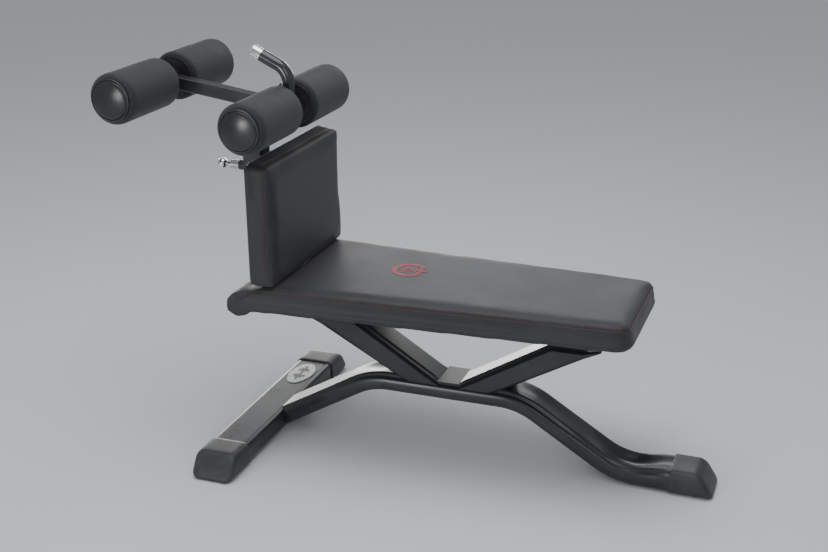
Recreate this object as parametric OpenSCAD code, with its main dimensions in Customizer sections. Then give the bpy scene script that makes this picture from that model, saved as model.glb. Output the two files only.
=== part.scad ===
// Crunch bench with an adjustable roller leg hold
// Millimetres. X runs along the bench towards the head end, Y across it, Z up from the floor.

/* [Base frame] */

// Height of the flat top stretch of the base tube, at its centreline
base_arch_z = 168.5; // [140:0.5:220]
// Half of the overall length on the floor
half_length = 700; // [600:5:800]
// X of the front foot's centreline
foot_x = -400; // [-480:5:-340]
// Overall length of the front foot across the bench
foot_len = 698; // [500:1:800]
// Width of the front foot tube along X
foot_w = 98; // [70:1:120]
// Height of the front foot tube
foot_h = 52; // [40:1:70]
// Height of the base tube's centreline where it runs into the front foot
base_start_z = 10; // [5:0.5:30]
// Width of the base tube across the bench
base_w = 96; // [70:1:120]
// Height of the base tube
base_h = 45; // [36:1:60]
// Corner radius of the foot and base tubes
tube_r = 14; // [6:1:20]
// Wall thickness of the frame tubes
tube_wall = 3; // [2:0.5:5]
// Centreline radius of the base tube's bends
bend_r = 170; // [120:5:240]
// X of the front upper bend
bend_front_x = -124; // [-200:1:-80]
// X of the rear upper bend
bend_rear_x = 244; // [180:1:300]
// X of the rear floor bend
bend_floor_x = 473; // [420:1:520]
// Width of the base tube where it opens out into the rear cap
heel_w = 100; // [80:1:120]
// Height of the base tube where it opens out into the rear cap
heel_h = 52; // [45:1:60]

/* [Feet] */

// Wall of the rubber foot caps
cap_wall = 3; // [2:0.5:4]
// Length of a front foot cap
foot_cap_len = 111; // [80:1:130]
// How far the top of a front cap's end slopes back
foot_cap_slope = 38; // [0:1:45]
// Length of the rear cap on the base tube
rear_cap_len = 104; // [70:1:130]
// How far the top of the rear cap's end slopes back
rear_cap_slope = 37; // [0:1:45]
// Length of the oval badge
badge_len = 118; // [60:1:140]
// Y of the badge's centre
badge_y = 157; // [120:1:180]

/* [V support] */

// Width of the V support across the bench
v_w = 90; // [50:1:94]
// Thickness of each V leg where it leaves the base tube
v_t = 53; // [30:1:60]
// Corner radius of the V legs
v_r = 14; // [6:1:18]
// X where the front leg's upper face meets the saddle
v_front_x = 48; // [30:1:70]
// X where the rear leg's upper face meets the saddle
v_rear_x = 101; // [90:1:130]
// Rise of the front leg's upper face in degrees
v_front_deg = 32; // [22:0.5:40]
// Rise of the front leg's lower face in degrees
v_front_low_deg = 28.5; // [20:0.5:40]
// Rise of the rear leg's upper face in degrees
v_rear_deg = 31; // [22:0.5:40]
// Rise of the rear leg's lower face in degrees
v_rear_low_deg = 29.5; // [20:0.5:40]
// Height of the saddle's upper face above the base tube
v_saddle_h = 1.5; // [1:0.5:12]

/* [Seat beam and upright] */

// Height of the seat beam's underside
beam_z = 322; // [300:1:340]
// Height of the seat beam
beam_h = 48; // [36:1:50]
// Width of the seat beam
beam_w = 60; // [44:1:64]
// X of the seat beam's head end
beam_end_x = 470; // [400:5:500]
// X of the upright's centreline
upright_x = -416; // [-430:1:-410]
// Outside size of the square upright sleeve
sleeve_w = 50; // [46:1:56]
// Height of the top of the sleeve
sleeve_top_z = 700; // [660:5:715]
// Size of the square inner post
post_w = 40; // [34:1:42]
// Height of the inner post's foot at its lowest setting
post_foot_z = 450; // [430:5:480]
// Running clearance on each side of the post
post_gap = 0.3; // [0.2:0.05:0.6]

/* [Pads] */

// Height of the back pad's upper face
pad_top_z = 431; // [410:1:450]
// Thickness of the back pad with its board
pad_t = 57; // [45:1:70]
// X of the head end of the back pad
pad_head_x = 516; // [450:5:600]
// Half-width of the back pad at the seat end
pad_half_seat = 210; // [170:1:240]
// Half-width of the back pad at the head end
pad_half_head = 160; // [130:1:200]
// Plan corner radius at the head end
pad_corner_r = 44; // [25:1:60]
// Rounding of the pads' long edges
pad_edge_r = 14; // [6:1:20]
// Radius of the drooping nose roll
nose_r = 32; // [24:1:36]
// X of the nose roll's axis
nose_x = -379; // [-390:1:-370]
// Height of the nose roll's axis
nose_z = 383; // [376:1:392]
// Front face of the upright leg pad
leg_pad_x = -288; // [-300:1:-275]
// Thickness of the leg pad with its board
leg_pad_t = 62; // [50:1:64]
// Half-width of the leg pad
leg_pad_half = 203; // [160:1:230]
// Height of the top of the leg pad
leg_pad_top_z = 722; // [680:1:735]
// Thickness of the plywood pad boards
board_t = 12; // [9:1:18]

/* [Roller carriage] */

// X of the knee roller axle
knee_x = -330; // [-345:1:-310]
// Height of the knee roller axle
knee_z = 805; // [790:1:830]
// X of the ankle roller axle
ankle_x = -642; // [-660:1:-600]
// Height of the ankle roller axle
ankle_z = 850; // [820:1:880]
// Outside radius of the rollers
roller_r = 58; // [45:1:62]
// Distance from the middle to a roller's inner end
roller_in_y = 28.5; // [28:0.5:40]
// Distance from the middle to a roller's outer rim
roller_out_y = 242; // [200:1:280]
// Radius of the steel axles
axle_r = 12.5; // [10:0.5:16]
// Radial running clearance of the rollers on their axles
axle_gap = 0.06; // [0.02:0.01:0.1]
// Size of the square roller arm
arm_w = 30; // [25:1:40]
// Outside radius of the axle hubs
hub_r = 20; // [17:1:24]

/* [Handle and pop pin] */

// Outside radius of the handle grip
grip_r = 14.7; // [12:0.1:18]
// X of the handle's upright stretch
handle_x = -325; // [-330:1:-320]
// Height where the handle's two straight stretches would meet
handle_corner_z = 890; // [880:1:910]
// Lean of the handle's slanting stretch in degrees above level
handle_deg = 25.6; // [10:0.2:45]
// Length of the slanting stretch from that corner
handle_run = 96; // [80:1:140]
// Bend radius of the handle
handle_bend_r = 43; // [30:1:60]
// Height of the pop pin, level with the post's lowest hole
pin_z = 657.5; // [640:0.5:680]
// Radius of the pop pin
pin_r = 5; // [4:0.5:6]
// How far the pop pin travels
pin_travel = 10; // [8:1:14]
// Radius of the pop pin's ball knob
ball_r = 13; // [10:0.5:16]
// Spacing of the holes up the post
hole_pitch = 25; // [20:1:40]
// Number of setting holes in the post
hole_count = 7; // [4:1:9]

/* [Hidden] */

$fn = 64;
eps = 0.01;
fit = 0.3;

foot_z = cap_wall + foot_h / 2;
foot_edge_x = foot_x + foot_w / 2;
rear_z = cap_wall + base_h / 2;
cap_end_t = 7;
rear_tube_end = half_length - rear_cap_slope - cap_end_t;
rear_cap_x = half_length - rear_cap_len;
base_start_x = foot_edge_x - 45;
front_slope = atan2(base_arch_z - base_start_z, bend_front_x - base_start_x);
front_run = norm([bend_front_x - base_start_x, base_arch_z - base_start_z]);
rear_slope = atan2(base_arch_z - rear_z, bend_floor_x - bend_rear_x);
rear_run = norm([bend_floor_x - bend_rear_x, base_arch_z - rear_z]);
front_cut = bend_r * tan(front_slope / 2);
rear_cut = bend_r * tan(rear_slope / 2);
bend_swell = 0.05;
bend_lap = 2;
flat_run = bend_rear_x - rear_cut - bend_front_x - front_cut;
base_top_z = base_arch_z + base_h / 2;
heel_x = bend_floor_x + rear_cut;
heel_lap = 3;
v_leg_run = 560;

beam_top_z = beam_z + beam_h;
board_z = pad_top_z - pad_t;
board_inset = 14;
plate_t = board_z - beam_top_z;
mount_front_x = -180;
mount_rear_x = 300;
mount_bolt_y = 62;
mount_len = 60;
mount_w = 180;
leg_board_x = leg_pad_x - leg_pad_t;
leg_board_half = leg_pad_half - board_inset;
leg_pad_z = pad_top_z + 1;
leg_board_h = leg_pad_top_z - leg_pad_z - 2 * board_inset;
bracket_low_z = 505;
bracket_high_z = 640;
bracket_bolt_y = 60;
bracket_t = 4;
bracket_w = 170;
bracket_h = 50;
bracket_x = leg_board_x - bracket_t;
bolt_r = 4;
washer_r = 8;
washer_t = 3;
head_r = 6.5;
head_h = 5;

sleeve_back_x = upright_x - sleeve_w / 2;
sleeve_front_x = upright_x + sleeve_w / 2;
sleeve_wall = 2.5;
liner_out = sleeve_w - 2 * sleeve_wall;
liner_in = post_w + 2 * post_gap;
notch_half = sleeve_w / 2 + 8;
notch_x = sleeve_front_x + 52;
arm_deg = atan2(ankle_z - knee_z, knee_x - ankle_x);
arm_run = norm([knee_x - ankle_x, ankle_z - knee_z]);
post_wall = 2.5;
axle_half = roller_out_y - 6;
axle_bolt_r = 5;
axle_bolt_run = 25;
axle_washer_r = 17;
core_r = 20;
core_end_y = axle_half - 0.5;
inner_cap_t = 6;
dome_h = 8;
dome_cap_r = 48;
dome_sphere_r = (dome_cap_r * dome_cap_r + dome_h * dome_h) / (2 * dome_h);
handle_lap = 1;
handle_cut = handle_bend_r * tan((90 - handle_deg) / 2);
grip_start_z = knee_z + hub_r + 6;
tube_handle_r = grip_r - 2.2;
handle_cap_len = 25;
boss_len = 19;
barrel_len = 23;
barrel_r = 10.5;
barrel_end_t = 3;
spring_len = 14;
collar_t = 4;
barrel_x = sleeve_back_x - boss_len - barrel_len;
ball_x = barrel_x - ball_r - pin_travel - fit;
pin_tip_x = upright_x - post_w / 2 - 1;

PAINT = [0.16, 0.16, 0.17];
RUBBER = [0.09, 0.09, 0.09];
LEATHER = [0.11, 0.11, 0.12];
FOAM = [0.12, 0.12, 0.12];
PLASTIC = [0.08, 0.08, 0.09];
STEEL = [0.62, 0.63, 0.65];
CHROME = [0.85, 0.86, 0.88];
PLY = [0.72, 0.58, 0.40];
WHITE = [0.93, 0.93, 0.92];

// Rounded rectangle about the origin
module rounded_rect(w, h, r) {
  square([w - 2 * r, h], center = true);
  square([w, h - 2 * r], center = true);
  for (sx = [-1, 1]) {
    for (sy = [-1, 1]) {
      translate([sx * (w / 2 - r), sy * (h / 2 - r)]) circle(r = r);
    }
  }
}

// Straight bar of a rounded section: local X runs along it, w across in Y, h in Z
module bar_x(len, w, h, r) {
  rotate([90, 0, 90]) linear_extrude(height = len) rounded_rect(w, h, r);
}

// Bend of the same section that starts along +X at the origin and turns down through deg
module bend_down(deg, radius, w, h, r) {
  translate([0, 0, -radius]) rotate([90, 0, 0]) rotate([0, 0, 90 - deg])
    rotate_extrude(angle = deg) translate([radius, 0]) rounded_rect(h, w, r);
}

// Bend that starts along +X at the origin and turns up through deg
module bend_up(deg, radius, w, h, r) {
  translate([0, 0, radius]) rotate([90, 0, 0]) rotate([0, 0, -90])
    rotate_extrude(angle = deg) translate([radius, 0]) rounded_rect(h, w, r);
}

// Cylinder along +X, +Y from the origin
module rod_x(len, r) {
  rotate([0, 90, 0]) cylinder(h = len, r = r);
}

module rod_y(len, r) {
  rotate([-90, 0, 0]) cylinder(h = len, r = r);
}

// Carries its children round a bend that starts along +X and turns down through deg
module past_bend(deg, radius) {
  translate([0, 0, -radius]) rotate([0, deg, 0]) translate([0, 0, radius]) children();
}

// The base tube's whole run as a solid bar, its skin set in by inset and its ends run on by extra.
// The bends stand bend_swell proud of the straights, which run bend_lap into them. Inside the rear
// cap the tube has its full height, heel_h.
module base_run(inset, extra) {
  w = base_w - 2 * inset;
  h = base_h - 2 * inset;
  r = tube_r - inset;
  bw = w + 2 * bend_swell;
  bh = h + 2 * bend_swell;
  br = r + bend_swell;
  slope_run = rear_run - 2 * rear_cut;
  translate([base_start_x, 0, base_start_z]) rotate([0, -front_slope, 0]) {
    translate([-extra, 0, 0]) bar_x(front_run - front_cut + extra + bend_lap, w, h, r);
    translate([front_run - front_cut, 0, 0]) {
      bend_down(front_slope, bend_r, bw, bh, br);
      past_bend(front_slope, bend_r) {
        translate([-bend_lap, 0, 0]) bar_x(flat_run + 2 * bend_lap, w, h, r);
        translate([flat_run, 0, 0]) {
          bend_down(rear_slope, bend_r, bw, bh, br);
          past_bend(rear_slope, bend_r) {
            translate([-bend_lap, 0, 0]) bar_x(slope_run + 2 * bend_lap, w, h, r);
            translate([slope_run, 0, 0]) {
              bend_up(rear_slope, bend_r, bw, bh, br);
              past_bend(-rear_slope, -bend_r) translate([-bend_lap, 0, 0])
                bar_x(rear_cap_x - heel_x + bend_lap, w, h, r);
            }
          }
        }
      }
    }
  }
  translate([rear_cap_x - heel_lap + inset, 0, cap_wall + heel_h / 2])
    bar_x(rear_tube_end - rear_cap_x + heel_lap + extra, heel_w - 2 * inset, heel_h - 2 * inset, r);
}

// The front foot's outline along its whole length
module foot_envelope() {
  translate([foot_x, -foot_len / 2, foot_z]) rotate([-90, 0, 0]) linear_extrude(height = foot_len)
    rounded_rect(foot_w, foot_h, tube_r);
}

module front_foot_tube() {
  tube_half = foot_len / 2 - foot_cap_slope - cap_end_t;
  color(PAINT) translate([foot_x, -tube_half, foot_z]) rotate([-90, 0, 0])
    linear_extrude(height = 2 * tube_half) difference() {
      rounded_rect(foot_w, foot_h, tube_r);
      rounded_rect(foot_w - 2 * tube_wall, foot_h - 2 * tube_wall, tube_r - tube_wall);
    }
}

// A foot cap along +X: a rubber shoe over a tube end with a sloping end face
module foot_cap(len, w, h, slope) {
  socket = len - slope - cap_end_t + fit;
  difference() {
    bar_x(len, w + 2 * cap_wall, h + 2 * cap_wall, tube_r + cap_wall);
    translate([-1, 0, 0]) bar_x(socket + 1, w + 0.1, h + 0.1, tube_r + 0.05);
    translate([len, -w, -h / 2 - cap_wall]) rotate([0, -atan2(slope, h + 2 * cap_wall), 0])
      cube([len, 2 * w, 3 * h]);
  }
}

module front_foot_cap_left() {
  color(RUBBER) translate([foot_x, -foot_len / 2 + foot_cap_len, foot_z]) rotate([0, 0, -90])
    foot_cap(foot_cap_len, foot_w, foot_h, foot_cap_slope);
}

module front_foot_cap_right() {
  color(RUBBER) translate([foot_x, foot_len / 2 - foot_cap_len, foot_z]) rotate([0, 0, 90])
    foot_cap(foot_cap_len, foot_w, foot_h, foot_cap_slope);
}

module rear_foot_cap() {
  color(RUBBER) translate([rear_cap_x, 0, cap_wall + heel_h / 2])
    foot_cap(rear_cap_len, heel_w, heel_h, rear_cap_slope);
}

module base_tube() {
  color(PAINT) difference() {
    base_run(0, 0);
    base_run(tube_wall, 5);
    foot_envelope();
    translate([base_start_x - 60, -base_w, -60])
      cube([foot_edge_x - base_start_x + 60 - tube_r, 2 * base_w, 200]);
    translate([base_start_x - 60, -base_w, -60])
      cube([foot_edge_x - base_start_x + 60 - tube_r / 2, 2 * base_w, 60 + foot_z / 2]);
  }
}

// Four-arc oval, long axis along Y
module oval(len, w) {
  a = len / 2;
  b = w / 2;
  end_r = b * 0.65;
  c = a - end_r;
  side_r = (c * c + b * b - end_r * end_r) / (2 * (b - end_r));
  cut_y = c * side_r / (side_r - end_r);
  intersection() {
    translate([side_r - b, 0]) circle(r = side_r);
    translate([b - side_r, 0]) circle(r = side_r);
    square([2 * b + 2, 2 * cut_y], center = true);
  }
  for (s = [-1, 1]) {
    translate([0, s * c]) circle(r = end_r);
  }
}

module badge() {
  badge_w = badge_len * 0.525;
  color(WHITE) translate([foot_x, badge_y, foot_h + cap_wall + 0.05]) difference() {
    linear_extrude(height = 1.6) oval(badge_len, badge_w);
    translate([0, 0, 1]) linear_extrude(height = 2) badge_mark(0.1);
  }
}

// A plain barbell sign
module badge_mark(grow) {
  square([6 + 2 * grow, badge_len * 0.7 + 2 * grow], center = true);
  for (s = [-1, 1]) {
    translate([0, s * badge_len * 0.13]) square([badge_len * 0.26 + 2 * grow, 10 + 2 * grow], center = true);
    translate([0, s * badge_len * 0.21]) square([badge_len * 0.17 + 2 * grow, 7 + 2 * grow], center = true);
  }
}

module badge_icon() {
  color(PLASTIC) translate([foot_x, badge_y, foot_h + cap_wall + 1.1])
    linear_extrude(height = 1) badge_mark(0);
}

// One V leg as a solid bar, its skin set in by inset: two bars that share the saddle corner and
// spread apart, so that the leg grows deeper towards the seat beam. The lower one is a hair narrower.
module v_leg_solid(upper_deg, lower_deg, inset) {
  rotate([0, -upper_deg, 0]) translate([-60, 0, -v_t / 2])
    bar_x(v_leg_run, v_w - 2 * inset, v_t - 2 * inset, v_r - inset);
  rotate([0, -lower_deg, 0]) translate([-60, 0, -v_t / 2])
    bar_x(v_leg_run, v_w - 2 * inset - 2 * bend_swell, v_t - 2 * inset, v_r - inset);
}

module v_front_solid(inset) {
  translate([v_front_x, 0, base_top_z + v_saddle_h]) rotate([0, 0, 180])
    v_leg_solid(v_front_deg, v_front_low_deg, inset);
}

module v_rear_solid(inset) {
  translate([v_rear_x, 0, base_top_z + v_saddle_h])
    v_leg_solid(v_rear_deg, v_rear_low_deg, inset);
}

// Everything between the base tube and the seat beam on one side of a mitre
module v_window(x0, x1) {
  translate([x0, -v_w, base_arch_z]) cube([x1 - x0, 2 * v_w, beam_z - base_arch_z]);
}

module v_front_leg() {
  color(PAINT) difference() {
    intersection() {
      v_front_solid(0);
      v_window(-460, v_front_x);
    }
    v_front_solid(tube_wall);
    base_run(0, 0);
  }
}

module v_rear_leg() {
  color(PAINT) difference() {
    intersection() {
      v_rear_solid(0);
      v_window(v_rear_x, 600);
    }
    v_rear_solid(tube_wall);
    base_run(0, 0);
  }
}

module v_saddle() {
  color(PAINT) translate([v_front_x, -v_w / 2, base_top_z])
    cube([v_rear_x - v_front_x, v_w, v_saddle_h]);
}

module seat_beam() {
  color(PAINT) translate([sleeve_front_x, 0, beam_z + beam_h / 2]) difference() {
    bar_x(beam_end_x - sleeve_front_x, beam_w, beam_h, 8);
    translate([-1, 0, 0]) bar_x(beam_end_x - sleeve_front_x + 2, beam_w - 6, beam_h - 6, 5);
  }
}

module seat_beam_plug() {
  color(PLASTIC) translate([beam_end_x, 0, beam_z + beam_h / 2]) {
    bar_x(4, beam_w, beam_h, 8);
    translate([-18, 0, 0]) bar_x(19, beam_w - 6.2, beam_h - 6.2, 4.9);
  }
}

module upright_sleeve() {
  color(PAINT) translate([upright_x, 0, 0]) difference() {
    translate([0, 0, beam_z]) linear_extrude(height = sleeve_top_z - beam_z)
      rounded_rect(sleeve_w, sleeve_w, 6);
    translate([0, 0, beam_z - 1]) linear_extrude(height = sleeve_top_z - beam_z + 2)
      rounded_rect(liner_out, liner_out, 3.5);
    translate([-sleeve_w, 0, pin_z]) rod_x(sleeve_w - 10, pin_r + 2);
  }
}

module sleeve_liner() {
  color(PLASTIC) translate([upright_x, 0, 0]) difference() {
    union() {
      translate([0, 0, sleeve_top_z - 180]) linear_extrude(height = 180)
        rounded_rect(liner_out - 0.1, liner_out - 0.1, 3.4);
      translate([0, 0, sleeve_top_z]) linear_extrude(height = 5) rounded_rect(sleeve_w, sleeve_w, 6);
    }
    translate([0, 0, sleeve_top_z - 181]) linear_extrude(height = 190)
      rounded_rect(liner_in, liner_in, 4 + post_gap);
    translate([-sleeve_w, 0, pin_z]) rod_x(sleeve_w - 10, pin_r + 1.5);
  }
}

module sleeve_plug() {
  color(PLASTIC) translate([upright_x, 0, beam_z]) {
    translate([0, 0, -4]) linear_extrude(height = 4) rounded_rect(sleeve_w, sleeve_w, 6);
    translate([0, 0, -1]) linear_extrude(height = 16) rounded_rect(liner_out - 0.1, liner_out - 0.1, 3.4);
  }
}

module pop_pin_boss() {
  color(PAINT) translate([sleeve_back_x - boss_len, 0, pin_z]) difference() {
    rod_x(boss_len, barrel_r + 1.5);
    translate([-1, 0, 0]) rod_x(boss_len + 2, barrel_r - 2);
  }
}

// The barrel screws on to the boss and houses the spring and the pin's collar
module pop_pin_barrel() {
  color(STEEL) translate([barrel_x, 0, pin_z]) difference() {
    rod_x(barrel_len, barrel_r);
    translate([barrel_end_t, 0, 0]) rod_x(barrel_len, barrel_r - 2);
    translate([-1, 0, 0]) rod_x(barrel_len, pin_r + fit);
  }
}

// The coil spring at its compressed length, as one ribbed sleeve
module pop_pin_spring() {
  coils = 7;
  pitch = spring_len / coils;
  color(STEEL) translate([barrel_x + barrel_end_t + 1, 0, pin_z]) rotate([0, 90, 0]) rotate_extrude() {
    translate([pin_r + 0.8, 0]) square([1.2, spring_len]);
    for (i = [0:coils - 1]) {
      translate([pin_r + 2, (i + 0.5) * pitch]) circle(r = 0.9);
    }
  }
}

module pop_pin_plunger() {
  color(CHROME) translate([0, 0, pin_z]) {
    translate([ball_x + 8, 0, 0]) rod_x(pin_tip_x - ball_x - 8, pin_r);
    translate([barrel_x + barrel_end_t + spring_len + 2, 0, 0]) rod_x(collar_t, barrel_r - 2.4);
  }
}

module pop_pin_knob() {
  color(CHROME) translate([ball_x, 0, pin_z]) difference() {
    union() {
      sphere(r = ball_r);
      rod_x(ball_r, pin_r + 1.8);
    }
    translate([8 - eps, 0, 0]) rod_x(ball_r, pin_r);
  }
}

// Bolt up along +Z through what starts at the origin: washer and round head below, len of shank
module bolt(len) {
  translate([0, 0, -washer_t]) cylinder(h = washer_t, r = washer_r);
  translate([0, 0, -washer_t - head_h]) cylinder(h = head_h + 0.5, r = head_r);
  translate([0, 0, -1]) cylinder(h = len + 1, r = bolt_r);
}

// Flat plate welded across the seat beam
module pad_mount(x) {
  color(PAINT) difference() {
    translate([x - mount_len / 2, -mount_w / 2, beam_top_z]) cube([mount_len, mount_w, plate_t]);
    for (s = [-1, 1]) {
      translate([x, s * mount_bolt_y, beam_top_z - 1]) cylinder(h = plate_t + 2, r = bolt_r + fit);
    }
  }
}

module pad_mount_front() {
  pad_mount(mount_front_x);
}

module pad_mount_rear() {
  pad_mount(mount_rear_x);
}

module pad_mount_bolts() {
  color(STEEL) for (x = [mount_front_x, mount_rear_x]) {
    for (s = [-1, 1]) {
      translate([x, s * mount_bolt_y, beam_top_z]) bolt(plate_t + board_t - 2);
    }
  }
}

// Plan outline of the back pad, shrunk by inset: tapering sides, round corners at the head end
module pad_plan(x0, inset) {
  x1 = pad_head_x - inset;
  h0 = pad_half_seat - inset;
  h1 = pad_half_head - inset;
  r = pad_corner_r - inset;
  taper = atan2(h0 - h1, x1 - x0);
  cy = h1 - r * (1 - sin(taper)) / cos(taper);
  polygon([[x0, -h0], [x1 - r + r * sin(taper), -cy - r * cos(taper)], [x1 - r, -cy], [x1, -cy],
    [x1, cy], [x1 - r, cy], [x1 - r + r * sin(taper), cy + r * cos(taper)], [x0, h0]]);
  for (s = [-1, 1]) {
    translate([x1 - r, s * cy]) circle(r = r);
  }
}

// Side outline of the back pad, with its drooping nose roll at the seat end
module pad_side() {
  end_x = pad_head_x - pad_edge_r;
  polygon([[nose_x, nose_z], [nose_x + 0.8 * nose_r, board_z], [end_x, board_z],
    [end_x, pad_top_z], [nose_x + 1.9 * nose_r, pad_top_z],
    [nose_x + 0.97 * nose_r * cos(75), nose_z + 0.97 * nose_r * sin(75)]]);
  translate([nose_x, nose_z]) circle(r = nose_r);
  translate([end_x - 1, board_z + pad_edge_r]) square([pad_edge_r + 1, pad_t - 2 * pad_edge_r]);
  for (z = [board_z + pad_edge_r, pad_top_z - pad_edge_r]) {
    translate([end_x, z]) circle(r = pad_edge_r);
  }
}

module back_pad_board() {
  color(PLY) difference() {
    translate([0, 0, board_z]) linear_extrude(height = board_t) pad_plan(notch_x + 8, board_inset);
    for (x = [mount_front_x, mount_rear_x]) {
      for (s = [-1, 1]) {
        translate([x, s * mount_bolt_y, board_z - 1]) cylinder(h = board_t + 2, r = bolt_r);
      }
    }
  }
}

module back_pad() {
  color(LEATHER) difference() {
    intersection() {
      translate([0, 0, board_z - 60]) linear_extrude(height = 160) pad_plan(nose_x - nose_r - 8, 0);
      translate([0, pad_half_seat + 5, 0]) rotate([90, 0, 0])
        linear_extrude(height = 2 * pad_half_seat + 10) pad_side();
    }
    translate([0, 0, board_z - fit]) linear_extrude(height = board_t + 2 * fit)
      pad_plan(notch_x + 8 - fit, board_inset - fit);
    translate([nose_x - nose_r - 20, -notch_half, nose_z - nose_r - 20])
      cube([notch_x - nose_x + nose_r + 20, 2 * notch_half, 140]);
  }
}

// Leg pad bracket: a plate on a block welded to the sleeve
module bracket(z) {
  color(PAINT) {
    difference() {
      translate([bracket_x, -bracket_w / 2, z - bracket_h / 2]) cube([bracket_t, bracket_w, bracket_h]);
      for (s = [-1, 1]) {
        translate([bracket_x - 1, s * bracket_bolt_y, z]) rod_x(bracket_t + 2, bolt_r + fit);
      }
    }
    translate([sleeve_front_x, -20, z - 15]) cube([bracket_x - sleeve_front_x, 40, 30]);
  }
}

module leg_pad_bracket_lower() {
  bracket(bracket_low_z);
}

module leg_pad_bracket_upper() {
  bracket(bracket_high_z);
}

module leg_pad_bolts() {
  color(STEEL) for (z = [bracket_low_z, bracket_high_z]) {
    for (s = [-1, 1]) {
      translate([bracket_x, s * bracket_bolt_y, z]) rotate([0, 90, 0]) bolt(bracket_t + board_t - 2);
    }
  }
}

module leg_pad_board() {
  color(PLY) difference() {
    translate([leg_board_x, -leg_board_half, leg_pad_z + board_inset])
      cube([board_t, 2 * leg_board_half, leg_board_h]);
    for (z = [bracket_low_z, bracket_high_z]) {
      for (s = [-1, 1]) {
        translate([leg_board_x - 1, s * bracket_bolt_y, z]) rod_x(board_t + 2, bolt_r);
      }
    }
  }
}

// Upright slab: rounded from the front, from the side and from above
module leg_pad_block() {
  mid_x = leg_pad_x - leg_pad_t / 2;
  mid_z = (leg_pad_z + leg_pad_top_z) / 2;
  leg_pad_h = leg_pad_top_z - leg_pad_z;
  intersection() {
    translate([mid_x - leg_pad_t, 0, mid_z]) bar_x(2 * leg_pad_t, 2 * leg_pad_half, leg_pad_h, 25);
    translate([mid_x, leg_pad_half + 5, mid_z]) rotate([90, 0, 0])
      linear_extrude(height = 2 * leg_pad_half + 10) rounded_rect(leg_pad_t, leg_pad_h, pad_edge_r);
    translate([mid_x, 0, leg_pad_z - 5]) linear_extrude(height = leg_pad_h + 10)
      rounded_rect(leg_pad_t, 2 * leg_pad_half, pad_edge_r);
  }
}

module leg_pad() {
  color(LEATHER) difference() {
    leg_pad_block();
    translate([leg_board_x - 1, -leg_board_half - fit, leg_pad_z + board_inset - fit])
      cube([board_t + 1 + fit, 2 * (leg_board_half + fit), leg_board_h + 2 * fit]);
  }
}

// Square inner post: its lowest hole lines up with the pop pin at rest
module inner_post() {
  color(CHROME) translate([upright_x, 0, 0]) difference() {
    translate([0, 0, post_foot_z]) linear_extrude(height = ankle_z - post_foot_z)
      rounded_rect(post_w, post_w, 4);
    translate([0, 0, post_foot_z - 1]) linear_extrude(height = ankle_z - post_foot_z)
      rounded_rect(post_w - 2 * post_wall, post_w - 2 * post_wall, 1.5);
    for (i = [0:hole_count - 1]) {
      translate([-post_w, 0, pin_z - i * hole_pitch]) rod_x(post_w, pin_r + 0.4);
    }
    translate([knee_x - upright_x, 0, knee_z]) rotate([0, 180 + arm_deg, 0])
      translate([0, -post_w, -200]) cube([arm_run, 2 * post_w, 200 + arm_w / 2]);
  }
}

// Stop ring welded round the post: it sits on the liner's flange at the lowest setting
module post_collar() {
  color(PAINT) translate([upright_x, 0, sleeve_top_z + 5.3]) linear_extrude(height = 8) difference() {
    rounded_rect(sleeve_w - 1, sleeve_w - 1, 6);
    rounded_rect(post_w, post_w, 4);
  }
}

module roller_arm() {
  color(PAINT) translate([knee_x, 0, knee_z]) rotate([0, 180 + arm_deg, 0]) difference() {
    bar_x(arm_run, arm_w, arm_w, 3);
    translate([-1, 0, 0]) bar_x(arm_run + 2, arm_w - 5, arm_w - 5, 1);
    translate([0, -arm_w, 0]) rod_y(2 * arm_w, hub_r);
    translate([arm_run, -arm_w, 0]) rod_y(2 * arm_w, hub_r);
  }
}

module hub(x, z) {
  color(PAINT) translate([x, -roller_in_y + 1.5, z]) difference() {
    rod_y(2 * roller_in_y - 3, hub_r);
    translate([0, -1, 0]) rod_y(2 * roller_in_y, axle_r);
  }
}

module knee_hub() {
  hub(knee_x, knee_z);
}

module ankle_hub() {
  hub(ankle_x, ankle_z);
}

module axle(x, z) {
  color(STEEL) translate([x, -axle_half, z]) difference() {
    rod_y(2 * axle_half, axle_r);
    translate([0, -1, 0]) rod_y(axle_bolt_run + 1, axle_bolt_r);
    translate([0, 2 * axle_half - axle_bolt_run, 0]) rod_y(axle_bolt_run + 1, axle_bolt_r);
  }
}

module knee_axle() {
  axle(knee_x, knee_z);
}

module ankle_axle() {
  axle(ankle_x, ankle_z);
}

module axle_bolts(x, z) {
  color(STEEL) for (s = [0, 180]) {
    translate([x, 0, z]) rotate([0, 0, s]) {
      translate([0, axle_half, 0]) rod_y(washer_t, axle_washer_r);
      translate([0, axle_half + washer_t - 0.1, 0]) rod_y(head_h, head_r + 1.5);
      translate([0, axle_half - axle_bolt_run + 1, 0]) rod_y(axle_bolt_run, axle_bolt_r);
    }
  }
}

module knee_axle_bolts() {
  axle_bolts(knee_x, knee_z);
}

module ankle_axle_bolts() {
  axle_bolts(ankle_x, ankle_z);
}

// Round rod along the handle's bent centreline, from z0 up to d short of its end.
// The bend stands bend_swell proud of the straights, which run handle_lap into it.
module handle_path(r, z0, d) {
  up_end_z = handle_corner_z - handle_cut;
  translate([handle_x, 0, z0]) cylinder(h = up_end_z - z0 + handle_lap, r = r);
  translate([handle_x - handle_bend_r, 0, up_end_z]) {
    rotate([90, 0, 0]) rotate_extrude(angle = 90 - handle_deg) translate([handle_bend_r, 0])
      circle(r = r + bend_swell);
    rotate([0, handle_deg - 90, 0]) translate([handle_bend_r, 0, -handle_lap])
      cylinder(h = handle_run - handle_cut - d + handle_lap, r = r);
  }
}

module handle_tube() {
  color(STEEL) difference() {
    handle_path(tube_handle_r, knee_z, 4);
    handle_path(tube_handle_r - 2, knee_z - 5, 1);
    translate([knee_x, -30, knee_z]) rod_y(60, hub_r);
  }
}

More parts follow.
